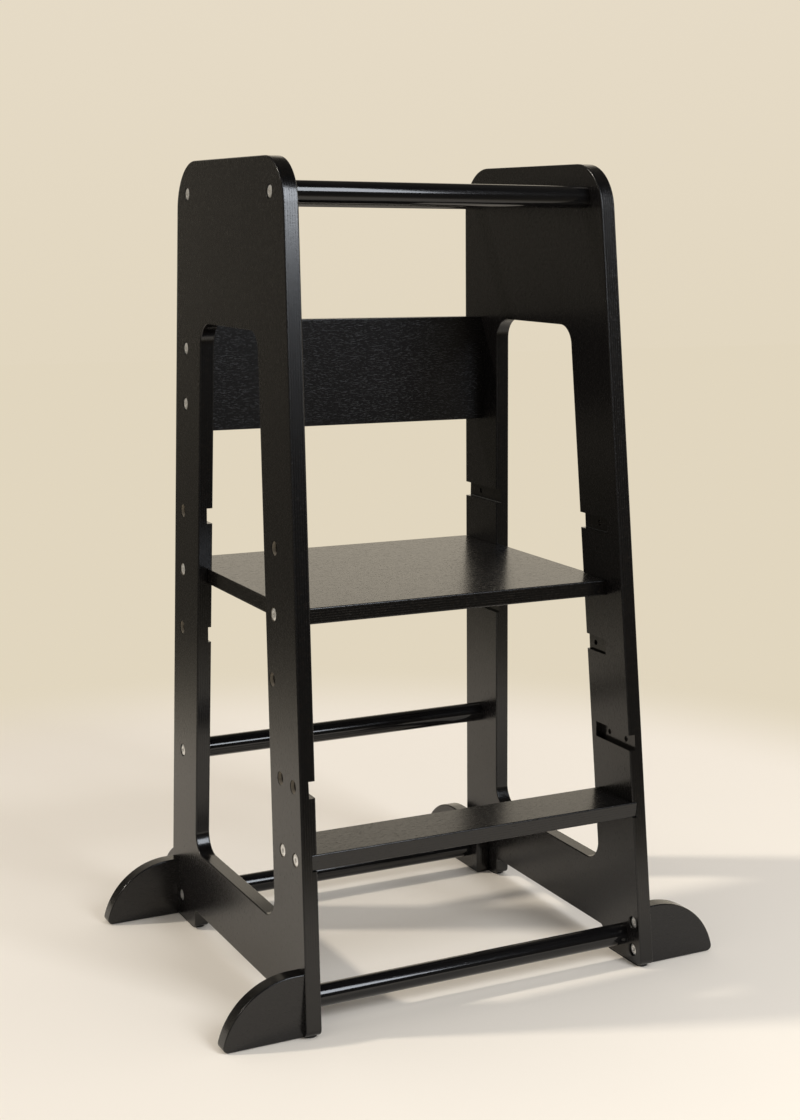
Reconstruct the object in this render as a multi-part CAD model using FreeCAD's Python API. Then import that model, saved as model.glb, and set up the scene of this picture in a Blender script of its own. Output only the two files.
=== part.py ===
import FreeCAD, Part
import math
import os

# Toddler kitchen helper stool: two leaning plywood side panels, joined by five round rails, a back
# board, a standing platform and a step. Millimetres, +Z up, the front (step side) towards -Y.
# The origin is on the floor, at the middle of the object's footprint.

# ---- sheet and bar stock -------------------------------------------------------------------------
panel_thickness = 18.0
platform_thickness = 18.0
step_thickness = 18.0
back_board_thickness = 18.0
foot_thickness = 18.0
rail_diameter = 25.0
edge_rounding = 1.5            # eased edges of every sheet piece

# ---- side panels ---------------------------------------------------------------------------------
panel_height = 931.0
panel_bottom_depth = 422.0     # front to back, where the panel stands
panel_top_depth = 313.0        # front to back, at the top: the front edge leans back, the rear is plumb
panel_top_radius = 55.0
top_clear_width = 373.0        # between the two panels, at their top
panel_lean = 1.25              # degrees that each panel leans inwards

post_width = 81.0              # front and rear posts beside the window
window_bottom_height = 100.0   # above the panel's own bottom
window_top_drop = 186.0        # below the panel's top
window_radius = 25.0
arch_height = 23.0             # low gap between the two legs of a panel
arch_radius = 6.0
leg_length = 82.0              # front to back, of each short leg
leg_corner_radius = 7.0

# ---- glides --------------------------------------------------------------------------------------
glide_thickness = 2.5
glide_width = 15.0
glide_length = 70.0

# ---- rails: places of their axes -----------------------------------------------------------------
rear_column = 33.0             # rear rails and back board, in front of the panels' rear edge
front_top_rail_inset = 32.0    # behind the panels' top front corner
front_bottom_rail_inset = 40.5 # behind the panels' bottom front corner
top_rail_drop = 38.0           # below the panels' top
middle_rail_height = 218.5     # above the floor, as the next two
rear_bottom_rail_height = 29.0
front_bottom_rail_height = 30.5

# ---- back board ----------------------------------------------------------------------------------
back_board_height = 132.0
back_board_drop = 185.5        # its top edge, below the panels' top
back_bolt_spacing = 66.0

# ---- standing platform ---------------------------------------------------------------------------
platform_level = 446.2         # height of its middle plane, at the middle one of its levels
platform_level_step = 72.5
platform_levels = 3
platform_groove_depth = 5.5    # at the middle level
platform_rear_bolt_setback = 28.0
platform_bolt_past_window = 13.5   # front bolt column, in front of the window at the lowest level
platform_front_overhang = 27.0     # of the platform, past its front bolts

# ---- step ----------------------------------------------------------------------------------------
step_depth = 69.0
step_level = 190.6             # height of its middle plane, at the lower one of its levels
step_level_step = 79.0
step_levels = 2
step_groove_depth = 5.7        # at the lower level
step_bolt_spacing = 34.5

# ---- round-backed feet ---------------------------------------------------------------------------
foot_height = 72.0
foot_curve_radius = 85.0
foot_straight = 9.0            # level top between the panel and the start of the curve
foot_lift = 0.5                # the feet hang this much above the floor, so the glides carry
foot_tip_radius = 6.0
front_foot_inset = 19.0        # middle of the front outer foot, behind the panel's bottom front corner
rear_foot_setback = 12.0       # middle of the rear outer foot
back_foot_length = 60.0        # what lies along the panel, in front of its rear edge
foot_bolt_low = 18.0           # heights of the two bolts of each outer foot
foot_bolt_high = 52.0

# ---- fasteners -----------------------------------------------------------------------------------
bolt_diameter = 6.0
bolt_hole_play = 0.3           # radial, in the sheet
head_diameter = 14.0
head_height = 3.0
head_chamfer = 0.6
socket_flats = 5.0
socket_depth = 2.0
counterbore_play = 0.7         # radial, round the head
head_recess = 0.3              # head below the surface
foot_head_recess = 2.4         # the feet's bolts sit deeper
washer_diameter = 14.8
washer_thickness = 1.2
washer_play = 0.2              # radial, on the bolt
board_bolt_length = 25.0       # under the head, platform and step
rail_bolt_length = 35.0        # rails and back board
foot_bolt_length = 35.0        # outer feet
insert_diameter = 10.0
insert_length = 14.0
thread_play = 0.05             # radial, bolt in its threaded insert
tip_room = 2.0                 # hole past the tip of a bolt

# ---- fits ----------------------------------------------------------------------------------------
groove_play = 0.3              # board in its groove, above it and at its stopped end
end_play = 0.3                 # between a board's end and the floor of its groove
cut_past = 1.0                 # how far a cutting body reaches past the face that it opens
same_place = 1e-4              # two points closer than this are one
hexagon_sides = 6

# ---- worked out from the sizes above -------------------------------------------------------------
lean_slope = math.tan(math.radians(panel_lean))
panel_top = glide_thickness + panel_height
front_edge_slope = (panel_bottom_depth - panel_top_depth) / panel_height

# The curve of a foot meets its bottom above the curve's middle, and the tip there is rounded.
foot_curve_drop = foot_curve_radius - foot_height
foot_curve_reach = math.sqrt(foot_curve_radius ** 2 - foot_curve_drop ** 2)
foot_tip_reach = foot_tip_radius + math.sqrt(
    (foot_curve_radius - foot_tip_radius) ** 2 - (foot_curve_drop + foot_tip_radius) ** 2)

front_top_rail_setback = panel_top_depth - front_top_rail_inset
front_bottom_rail_setback = panel_bottom_depth - front_bottom_rail_inset
front_foot_setback = panel_bottom_depth - front_foot_inset
top_rail_height = panel_top - top_rail_drop
back_board_top = panel_top - back_board_drop
back_board_bottom = back_board_top - back_board_height

# Farthest points to the rear (tips of the back feet) and to the front (rounded front leg corners).
rear_reach = foot_straight + foot_tip_reach
front_corner_middle = (
    panel_bottom_depth - leg_corner_radius * (front_edge_slope + math.sqrt(1 + front_edge_slope ** 2)))
front_reach = front_corner_middle + leg_corner_radius
rear_edge_y = (front_reach - rear_reach) / 2

rail_radius = rail_diameter / 2
bolt_radius = bolt_diameter / 2
bolt_hole_radius = bolt_radius + bolt_hole_play
counterbore_radius = head_diameter / 2 + counterbore_play
far = 2 * (panel_height + panel_bottom_depth)    # larger than the object, for cutting bodies


def place_y(setback):
    """Y of a place that lies this far in front of the panels' rear edge."""
    return rear_edge_y - setback


def inner_x(z):
    """Half the clear width between the panels at height z."""
    return top_clear_width / 2 + (panel_top - z) * lean_slope


def outer_x(z):
    return inner_x(z) + panel_thickness


def front_edge_setback(z):
    """Setback of the panels' leaning front edge at height z."""
    return panel_bottom_depth - (z - glide_thickness) * front_edge_slope


# ---- shape helpers -------------------------------------------------------------------------------
def in_yz(setback, z):
    return FreeCAD.Vector(0, place_y(setback), z)


def in_xz(x, z):
    return FreeCAD.Vector(x, 0, z)


def side_view(point):
    """The point seen from the side, moved onto the plane X = 0."""
    return FreeCAD.Vector(0, point.y, point.z)


def rounded_face(corners, to_space):
    """Face with rounded corners: corners is a list of (first, second, radius)."""
    edges = []
    previous_end = None
    first_start = None
    count = len(corners)
    for index in range(count):
        here = FreeCAD.Vector(corners[index][0], corners[index][1], 0)
        before = FreeCAD.Vector(corners[index - 1][0], corners[index - 1][1], 0)
        after = corners[(index + 1) % count]
        after = FreeCAD.Vector(after[0], after[1], 0)
        radius = corners[index][2]
        back = (before - here).normalize()
        ahead = (after - here).normalize()
        half = back.getAngle(ahead) / 2
        reach = radius / math.tan(half)
        start = here + back * reach
        end = here + ahead * reach
        if previous_end is not None:
            straight_from = to_space(previous_end.x, previous_end.y)
            edges.append(Part.makeLine(straight_from, to_space(start.x, start.y)))
        if radius > 0:
            bisector = (back + ahead).normalize()
            middle = here + bisector * (radius / math.sin(half) - radius)
            arc = Part.Arc(
                to_space(start.x, start.y),
                to_space(middle.x, middle.y),
                to_space(end.x, end.y),
            )
            edges.append(arc.toShape())
        if first_start is None:
            first_start = start
        previous_end = end
    last = to_space(previous_end.x, previous_end.y)
    edges.append(Part.makeLine(last, to_space(first_start.x, first_start.y)))
    return Part.Face(Part.Wire(Part.__sortEdges__(edges)))


def leaning_slab(from_offset, to_offset):
    """Everything between two planes parallel to the right panel, by their offset from its inner face."""
    low = -far
    high = far
    corners = [
        in_xz(inner_x(low) + from_offset, low),
        in_xz(inner_x(low) + to_offset, low),
        in_xz(inner_x(high) + to_offset, high),
        in_xz(inner_x(high) + from_offset, high),
    ]
    face = Part.Face(Part.makePolygon(corners + [corners[0]]))
    slab = face.extrude(FreeCAD.Vector(0, 2 * far, 0))
    slab.translate(FreeCAD.Vector(0, -far, 0))
    return slab


def between_panels(gap_each_side):
    """Everything between the panels' inner faces, less a layer on each side."""
    low = -far
    high = panel_top + panel_height
    corners = [
        in_xz(gap_each_side - inner_x(low), low),
        in_xz(inner_x(low) - gap_each_side, low),
        in_xz(inner_x(high) - gap_each_side, high),
        in_xz(gap_each_side - inner_x(high), high),
    ]
    face = Part.Face(Part.makePolygon(corners + [corners[0]]))
    space = face.extrude(FreeCAD.Vector(0, 2 * far, 0))
    space.translate(FreeCAD.Vector(0, -far, 0))
    return space


def along_x(radius, x_from, x_to, setback, z):
    """Round bar or hole with its axis along X."""
    base = FreeCAD.Vector(x_from, place_y(setback), z)
    return Part.makeCylinder(radius, x_to - x_from, base, FreeCAD.Vector(1, 0, 0))


def block(x_from, x_to, setback_rear, setback_front, z_from, z_to):
    corner = FreeCAD.Vector(x_from, place_y(setback_front), z_from)
    return Part.makeBox(x_to - x_from, setback_front - setback_rear, z_to - z_from, corner)


def edges_where(shape, keep):
    """Edges whose ends and middle all satisfy the test."""
    found = []
    for edge in shape.Edges:
        first, last = edge.ParameterRange
        points = [edge.valueAt(first), edge.valueAt((first + last) / 2), edge.valueAt(last)]
        if all(keep(point) for point in points):
            found.append(edge)
    return found


def on_leaning_face(point, offset):
    return abs(point.x - inner_x(point.z) - offset) < same_place


def mirrored(shape):
    return shape.mirror(FreeCAD.Vector(0, 0, 0), FreeCAD.Vector(1, 0, 0))


nodes = {}


def keep_node(name, shape):
    nodes[name] = shape


def keep_pair(name, right_shape):
    """A piece and its mirror image, as two nodes."""
    keep_node("right_" + name, right_shape)
    keep_node("left_" + name, mirrored(right_shape))


# ---- fasteners: each is modelled on the right, with its head outwards, at x = under_head ----------
def bolt(under_head, length, setback, z, outwards=1):
    """Hex-socket bolt along X. outwards is 1 when the head faces +X and -1 when it faces -X."""
    axis = FreeCAD.Vector(outwards, 0, 0)
    seat = FreeCAD.Vector(under_head, place_y(setback), z)
    shank = Part.makeCylinder(bolt_radius, length, seat - axis * length, axis)
    head = Part.makeCylinder(head_diameter / 2, head_height, seat, axis)
    rim = edges_where(head, lambda p: abs((p - seat).dot(axis) - head_height) < same_place
                      and (p - seat).cross(axis).Length > head_diameter / 4)
    head = head.makeChamfer(head_chamfer, rim)
    socket_radius = socket_flats / math.sqrt(3)
    socket_floor = seat + axis * (head_height - socket_depth)
    points = []
    for corner in range(hexagon_sides + 1):
        angle = 2 * math.pi * corner / hexagon_sides
        offset = FreeCAD.Vector(0, socket_radius * math.cos(angle), socket_radius * math.sin(angle))
        points.append(socket_floor + offset)
    socket = Part.Face(Part.makePolygon(points)).extrude(axis * (socket_depth + cut_past))
    return head.fuse(shank).removeSplitter().cut(socket)


def washer(under_head, setback, z):
    """Plain washer under the head of a right-hand bolt."""
    ring = along_x(washer_diameter / 2, under_head - washer_thickness, under_head, setback, z)
    hole_radius = bolt_radius + washer_play
    inner_end = under_head - washer_thickness - cut_past
    return ring.cut(along_x(hole_radius, inner_end, under_head + cut_past, setback, z))


def insert(end_x, setback, z, inwards=-1):
    """Threaded sleeve, flush with the end of the piece at end_x."""
    x_from = min(end_x, end_x + inwards * insert_length)
    x_to = x_from + insert_length
    sleeve = along_x(insert_diameter / 2, x_from, x_to, setback, z)
    bore_radius = bolt_radius + thread_play
    return sleeve.cut(along_x(bore_radius, x_from - cut_past, x_to + cut_past, setback, z))


def insert_hole(end_x, tip_x, setback, z, inwards=-1):
    """Room in the piece for a sleeve, and for the bolt's tip past it."""
    mouth = end_x - inwards * tip_room
    sleeve_end = end_x + inwards * insert_length
    wide = along_x(insert_diameter / 2, min(mouth, sleeve_end), max(mouth, sleeve_end), setback, z)
    deep_end = tip_x + inwards * tip_room
    deep = along_x(bolt_hole_radius, min(end_x, deep_end), max(end_x, deep_end), setback, z)
    return wide.fuse(deep)


def clear_hole(x_from, x_to, setback, z):
    return along_x(bolt_hole_radius, x_from, x_to, setback, z)


def both_sides(shapes):
    """One compound of the right-hand solids and their mirror images."""
    return Part.makeCompound(shapes + [mirrored(shape) for shape in shapes])


# ---- bolt places ---------------------------------------------------------------------------------
rail_places = {
    "front_top_rail": (front_top_rail_setback, top_rail_height, 0.0),
    "rear_top_rail": (rear_column, top_rail_height, 0.0),
    "rear_middle_rail": (rear_column, middle_rail_height, 0.0),
    "rear_bottom_rail": (rear_column, rear_bottom_rail_height, foot_thickness),
    "front_bottom_rail": (front_bottom_rail_setback, front_bottom_rail_height, 0.0),
}

back_board_middle = (back_board_bottom + back_board_top) / 2
back_bolt_heights = [back_board_middle - back_bolt_spacing / 2, back_board_middle + back_bolt_spacing / 2]

middle_index = platform_levels // 2
platform_heights = [
    platform_level + (index - middle_index) * platform_level_step for index in range(platform_levels)
]
platform_end_x = inner_x(platform_level) + platform_groove_depth
lowest_window_front = front_edge_setback(platform_heights[0]) - post_width
platform_front_bolt_setback = lowest_window_front + platform_bolt_past_window
platform_depth = platform_front_bolt_setback + platform_front_overhang
platform_setbacks = {"rear": platform_rear_bolt_setback, "front": platform_front_bolt_setback}

step_heights = [step_level + index * step_level_step for index in range(step_levels)]
step_end_x = inner_x(step_level) + step_groove_depth


def step_front(level):
    """Setback of the step's front face, flush with the panel's edge at the step's top."""
    return front_edge_setback(level + step_thickness / 2)


def step_setbacks(level):
    middle = step_front(level) - step_depth / 2
    return {"rear": middle - step_bolt_spacing / 2, "front": middle + step_bolt_spacing / 2}


foot_bolt_heights = [foot_bolt_low, foot_bolt_high]
plain_counterbore = head_height + head_recess
washer_counterbore = plain_counterbore + washer_thickness
foot_counterbore = head_height + foot_head_recess


def outer_seat(z, depth):
    """X of the floor of a counterbore in the panel's outer face."""
    return outer_x(z) - depth


# ---- side panel ----------------------------------------------------------------------------------
def panel_blank():
    bottom = glide_thickness
    arch_top = bottom + arch_height
    front_leg_end = panel_bottom_depth - leg_length
    outline = [
        (0, panel_top, panel_top_radius),
        (panel_top_depth, panel_top, panel_top_radius),
        (panel_bottom_depth, bottom, leg_corner_radius),
        (front_leg_end, bottom, leg_corner_radius),
        (front_leg_end, arch_top, arch_radius),
        (leg_length, arch_top, arch_radius),
        (leg_length, bottom, leg_corner_radius),
        (0, bottom, leg_corner_radius),
    ]
    window_low = bottom + window_bottom_height
    window_high = panel_top - window_top_drop
    window = [
        (post_width, window_high, window_radius),
        (front_edge_setback(window_high) - post_width, window_high, window_radius),
        (front_edge_setback(window_low) - post_width, window_low, window_radius),
        (post_width, window_low, window_radius),
    ]
    face = rounded_face(outline, in_yz).cut(rounded_face(window, in_yz))
    prism = face.extrude(FreeCAD.Vector(far, 0, 0))
    blank = prism.common(leaning_slab(0.0, panel_thickness))
    rims = edges_where(blank, lambda p: on_leaning_face(p, 0.0) or on_leaning_face(p, panel_thickness))
    return blank.makeFillet(edge_rounding, rims)


def platform_groove(level):
    """Groove for one end of the platform: open to the rear, stopped in the front post."""
    low = level - platform_thickness / 2
    return block(
        inner_x(low) - panel_thickness,
        platform_end_x + end_play,
        -panel_thickness,
        platform_depth + groove_play,
        low,
        low + platform_thickness + groove_play,
    )


def step_groove(level):
    """Groove for one end of the step: open to the front."""
    low = level - step_thickness / 2
    return block(
        inner_x(low) - panel_thickness,
        step_end_x + end_play,
        step_front(level) - step_depth - groove_play,
        panel_bottom_depth + panel_thickness,
        low,
        low + step_thickness + groove_play,
    )


def outer_bolt_room(setback, z, counterbore):
    """Counterbore in the outer face, and the hole through the panel."""
    seat = outer_seat(z, counterbore)
    through = clear_hole(inner_x(z) - panel_thickness, seat + cut_past, setback, z)
    return through.fuse(along_x(counterbore_radius, seat, outer_x(z) + panel_thickness, setback, z))


def side_panel():
    panel = panel_blank()
    cutters = [platform_groove(level) for level in platform_heights]
    cutters += [step_groove(level) for level in step_heights]
    for setback, z, _ in rail_places.values():
        cutters.append(outer_bolt_room(setback, z, plain_counterbore))
    for z in back_bolt_heights:
        cutters.append(outer_bolt_room(rear_column, z, plain_counterbore))
    for level in platform_heights:
        for setback in platform_setbacks.values():
            cutters.append(outer_bolt_room(setback, level, washer_counterbore))
    for level in step_heights:
        for setback in step_setbacks(level).values():
            cutters.append(outer_bolt_room(setback, level, washer_counterbore))
    for z in foot_bolt_heights:
        through = outer_x(z) + panel_thickness
        cutters.append(clear_hole(inner_x(z) - panel_thickness, through, front_foot_setback, z))
        cutters.append(clear_hole(inner_x(z) - panel_thickness, through, rear_foot_setback, z))
        seat = inner_x(z) + foot_counterbore
        cutters.append(along_x(counterbore_radius, 0, seat, front_foot_setback, z))
    for cutter in cutters:
        panel = panel.cut(cutter)
    return panel


# ---- boards --------------------------------------------------------------------------------------
def eased_board(board, setback_rear, setback_front):
    """Rounds the long edges of a board that runs along X."""
    def on_long_edge(point):
        at_rear = abs(point.y - place_y(setback_rear)) < same_place
        at_front = abs(point.y - place_y(setback_front)) < same_place
        at_bottom = abs(point.z - board.BoundBox.ZMin) < same_place
        at_top = abs(point.z - board.BoundBox.ZMax) < same_place
        return (at_rear or at_front) and (at_bottom or at_top)
    long_edges = [e for e in edges_where(board, on_long_edge) if e.Length > board.BoundBox.XLength / 2]
    return board.makeFillet(edge_rounding, long_edges)


def insert_rooms(end_x, tip_x, places):
    right = [insert_hole(end_x, tip_x, setback, z) for setback, z in places]
    return right + [mirrored(room) for room in right]


def grooved_board(end_x, setback_rear, setback_front, level, thickness, setbacks):
    """Platform or step, with the holes for its sleeves."""
    low = level - thickness / 2
    board = block(-end_x, end_x, setback_rear, setback_front, low, low + thickness)
    board = eased_board(board, setback_rear, setback_front)
    tip_x = outer_seat(level, washer_counterbore) + washer_thickness - board_bolt_length
    for room in insert_rooms(end_x, tip_x, [(setback, level) for setback in setbacks.values()]):
        board = board.cut(room)
    return board


def back_board():
    rear = rear_column - back_board_thickness / 2
    front = rear + back_board_thickness
    board = block(-far, far, rear, front, back_board_bottom, back_board_top).common(between_panels(0.0))
    board = eased_board(board, rear, front)
    for z in back_bolt_heights:
        tip_x = outer_seat(z, plain_counterbore) - rail_bolt_length
        for room in insert_rooms(inner_x(z), tip_x, [(rear_column, z)]):
            board = board.cut(room)
    return board


def rail(setback, z, end_gap):
    bar = along_x(rail_radius, -far, far, setback, z).common(between_panels(end_gap))
    length = rail_bolt_length + end_gap
    tip_x = outer_seat(z, plain_counterbore) - length
    for room in insert_rooms(inner_x(z) - end_gap, tip_x, [(setback, z)]):
        bar = bar.cut(room)
    return bar


# ---- feet ----------------------------------------------------------------------------------------
def foot_face(start, heel, heel_top, outwards, to_space):
    """Side view of a foot. The curve starts at start and falls outwards (1 or -1) to the tip."""
    low = foot_lift
    high = low + foot_height
    middle_z = high - foot_curve_radius
    half_angle = math.acos(foot_curve_drop / foot_curve_radius) / 2
    halfway = to_space(
        start + outwards * foot_curve_radius * math.sin(half_angle),
        middle_z + foot_curve_radius * math.cos(half_angle))
    tip = to_space(start + outwards * foot_curve_reach, low)
    edges = [
        Part.makeLine(to_space(heel_top, high), to_space(start, high)),
        Part.Arc(to_space(start, high), halfway, tip).toShape(),
        Part.makeLine(tip, to_space(heel, low)),
        Part.makeLine(to_space(heel, low), to_space(heel_top, high)),
    ]
    return Part.Face(Part.Wire(edges)), tip


def outer_foot(setback):
    """Plate standing out from the panel's outer face, curved as seen from the front."""
    low = foot_lift
    high = low + foot_height
    face, tip = foot_face(outer_x(low) + foot_straight, outer_x(low), outer_x(high), 1, in_xz)
    plate = face.extrude(FreeCAD.Vector(0, foot_thickness, 0))
    plate.translate(FreeCAD.Vector(0, place_y(setback) - foot_thickness / 2, 0))
    plate = plate.makeFillet(foot_tip_radius, edges_where(plate, lambda p: (p - tip).cross(
        FreeCAD.Vector(0, 1, 0)).Length < same_place))
    sides = (place_y(setback) - foot_thickness / 2, place_y(setback) + foot_thickness / 2)
    rims = edges_where(plate, lambda p: min(abs(p.y - sides[0]), abs(p.y - sides[1])) < same_place)
    rims = [edge for edge in rims if not all(
        on_leaning_face(vertex.Point, panel_thickness) for vertex in edge.Vertexes)]
    plate = plate.makeFillet(edge_rounding, rims)
    for z in foot_bolt_heights:
        tip_x = inner_x(z) + foot_counterbore + foot_bolt_length
        plate = plate.cut(insert_hole(outer_x(z), tip_x, setback, z, inwards=1))
    return plate


def back_foot():
    """Plate on the inside of the panel, pointing to the rear, curved as seen from the side."""
    high = foot_lift + foot_height
    face, tip = foot_face(-foot_straight, back_foot_length, back_foot_length, -1, in_yz)
    prism = face.extrude(FreeCAD.Vector(far, 0, 0))
    plate = prism.common(leaning_slab(-foot_thickness, 0.0))
    top = in_yz(back_foot_length, high)
    corners = edges_where(plate, lambda p: min(
        (side_view(p) - tip).Length, (side_view(p) - top).Length) < same_place)
    plate = plate.makeFillet(foot_tip_radius, corners)
    rims = edges_where(plate, lambda p: on_leaning_face(p, 0.0) or on_leaning_face(p, -foot_thickness))
    plate = plate.makeFillet(edge_rounding, rims)
    cutters = [clear_hole(0, far, rear_column, rear_bottom_rail_height)]
    for z in foot_bolt_heights:
        seat = inner_x(z) - foot_thickness + foot_counterbore
        cutters.append(clear_hole(0, far, rear_foot_setback, z))
        cutters.append(along_x(counterbore_radius, 0, seat, rear_foot_setback, z))
    for cutter in cutters:
        plate = plate.cut(cutter)
    return plate


def glide(setback_middle):
    """Thin pad with round ends under a leg, along its length."""
    middle_x = inner_x(glide_thickness) + panel_thickness / 2
    half = glide_length / 2 - glide_width / 2
    low = FreeCAD.Vector(middle_x, place_y(setback_middle + half), 0)
    high = FreeCAD.Vector(middle_x, place_y(setback_middle - half), 0)
    pad = Part.makeBox(glide_width, 2 * half, glide_thickness, low - FreeCAD.Vector(glide_width / 2, 0, 0))
    for end in (low, high):
        pad = pad.fuse(Part.makeCylinder(glide_width / 2, glide_thickness, end))
    return pad.removeSplitter()


# ---- the pieces ----------------------------------------------------------------------------------
keep_pair("side_panel", side_panel())
keep_node("platform", grooved_board(
    platform_end_x, 0.0, platform_depth, platform_level, platform_thickness, platform_setbacks))
keep_node("step_board", grooved_board(
    step_end_x, step_front(step_level) - step_depth, step_front(step_level), step_level, step_thickness,
    step_setbacks(step_level)))
keep_node("back_board", back_board())

for rail_name, (rail_setback, rail_z, rail_gap) in rail_places.items():
    keep_node(rail_name, rail(rail_setback, rail_z, rail_gap))
    sleeve = insert(inner_x(rail_z) - rail_gap, rail_setback, rail_z)
    keep_node(rail_name + "_inserts", both_sides([sleeve.common(between_panels(rail_gap))]))
    rail_bolt_seat = outer_seat(rail_z, plain_counterbore)
    rail_bolt = bolt(rail_bolt_seat, rail_bolt_length + rail_gap, rail_setback, rail_z)
    keep_node(rail_name + "_bolts", both_sides([rail_bolt]))

keep_node("back_board_inserts", both_sides([
    insert(inner_x(z), rear_column, z).common(between_panels(0.0)) for z in back_bolt_heights]))
keep_node("back_board_bolts", both_sides([
    bolt(outer_seat(z, plain_counterbore), rail_bolt_length, rear_column, z) for z in back_bolt_heights]))

keep_pair("rear_back_foot", back_foot())
for foot_name, foot_setback, packing in (
        ("front_outer_foot", front_foot_setback, 0.0),
        ("rear_outer_foot", rear_foot_setback, foot_thickness)):
    keep_pair(foot_name, outer_foot(foot_setback))
    sleeves = [
        insert(outer_x(z), foot_setback, z, inwards=1).common(leaning_slab(panel_thickness, far))
        for z in foot_bolt_heights
    ]
    keep_pair(foot_name + "_inserts", Part.makeCompound(sleeves))
    foot_bolts = []
    for z in foot_bolt_heights:
        foot_bolt_seat = inner_x(z) - packing + foot_counterbore
        foot_bolts.append(bolt(foot_bolt_seat, foot_bolt_length + packing, foot_setback, z, outwards=-1))
    keep_pair(foot_name + "_bolts", Part.makeCompound(foot_bolts))

for glide_name, glide_setback in (
        ("rear_glide", leg_length / 2),
        ("front_glide", panel_bottom_depth - leg_length / 2)):
    keep_pair(glide_name, glide(glide_setback))

for board_name, board_level, board_end_x, board_setbacks in (
        ("platform", platform_level, platform_end_x, platform_setbacks),
        ("step", step_level, step_end_x, step_setbacks(step_level))):
    keep_node(board_name + "_inserts", both_sides([
        insert(board_end_x, setback, board_level) for setback in board_setbacks.values()]))
    head_seat = outer_seat(board_level, washer_counterbore) + washer_thickness
    for place, setback in board_setbacks.items():
        board_bolt = bolt(head_seat, board_bolt_length, setback, board_level)
        keep_pair(board_name + "_" + place + "_bolt", board_bolt)
        keep_pair(board_name + "_" + place + "_washer", washer(head_seat, setback, board_level))

os.makedirs("parts", exist_ok=True)
for node_name, node_shape in nodes.items():
    if not node_shape.isValid():
        raise ValueError(node_name + " is not a valid solid")
    node_shape.exportStep("parts/" + node_name + ".step")
print(len(nodes), "nodes")
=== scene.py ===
"""Looks of a toddler kitchen helper stool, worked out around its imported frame.

The sheet pieces keep their solids and get black lacquer over birch plywood, the rails get gloss lacquer,
and the bolts are made anew with their sockets, rounded heads and threads.
"""
import math

import bmesh
import bpy
import numpy as np
from bpy.props import FloatProperty, FloatVectorProperty, IntProperty, PointerProperty
from mathutils import Matrix, Vector


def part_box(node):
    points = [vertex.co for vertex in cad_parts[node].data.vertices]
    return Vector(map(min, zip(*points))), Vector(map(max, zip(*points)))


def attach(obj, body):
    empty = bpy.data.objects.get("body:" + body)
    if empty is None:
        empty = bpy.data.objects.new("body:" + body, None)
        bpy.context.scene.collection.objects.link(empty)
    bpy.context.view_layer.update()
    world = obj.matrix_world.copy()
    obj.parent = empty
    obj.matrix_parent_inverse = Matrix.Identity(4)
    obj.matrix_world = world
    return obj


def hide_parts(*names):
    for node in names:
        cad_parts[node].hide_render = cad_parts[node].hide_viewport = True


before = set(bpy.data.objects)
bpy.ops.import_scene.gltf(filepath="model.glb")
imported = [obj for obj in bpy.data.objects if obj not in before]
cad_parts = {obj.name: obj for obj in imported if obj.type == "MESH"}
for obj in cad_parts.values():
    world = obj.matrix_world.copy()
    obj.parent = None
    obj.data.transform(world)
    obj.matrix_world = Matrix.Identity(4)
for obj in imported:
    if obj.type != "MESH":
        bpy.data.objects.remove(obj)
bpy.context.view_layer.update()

bl_info = {
    "name": "Toddler Kitchen Helper Stool",
    "version": (1, 0, 0),
    "blender": (4, 5, 0),
    "location": "3D View > Sidebar > Stool",
    "description": "Finishes, bolts and stage of a plywood helper stool",
    "category": "Object",
}

SIDES = ("left", "right")
MOVING_PLACES = ("platform_rear", "platform_front", "step_rear", "step_front")
RAILS = ("front_top_rail", "rear_top_rail", "rear_middle_rail", "rear_bottom_rail", "front_bottom_rail")
OUTER_FEET = ("front_outer_foot", "rear_outer_foot")
MILLIMETRE = 0.001


# ---- sizes and colours that a user may change ------------------------------------------------------
def length(name, description, millimetres):
    return FloatProperty(name=name, description=description, default=millimetres * MILLIMETRE,
                         unit="LENGTH", precision=5, min=0.0)


def colour(name, description, default):
    return FloatVectorProperty(name=name, description=description, default=default, size=3,
                               subtype="COLOR", min=0.0, max=1.0)


def share(name, description, default):
    return FloatProperty(name=name, description=description, default=default, min=0.0, max=1.0,
                         subtype="FACTOR")


def amount(name, description, default, unit="NONE"):
    return FloatProperty(name=name, description=description, default=default, unit=unit)


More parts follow.
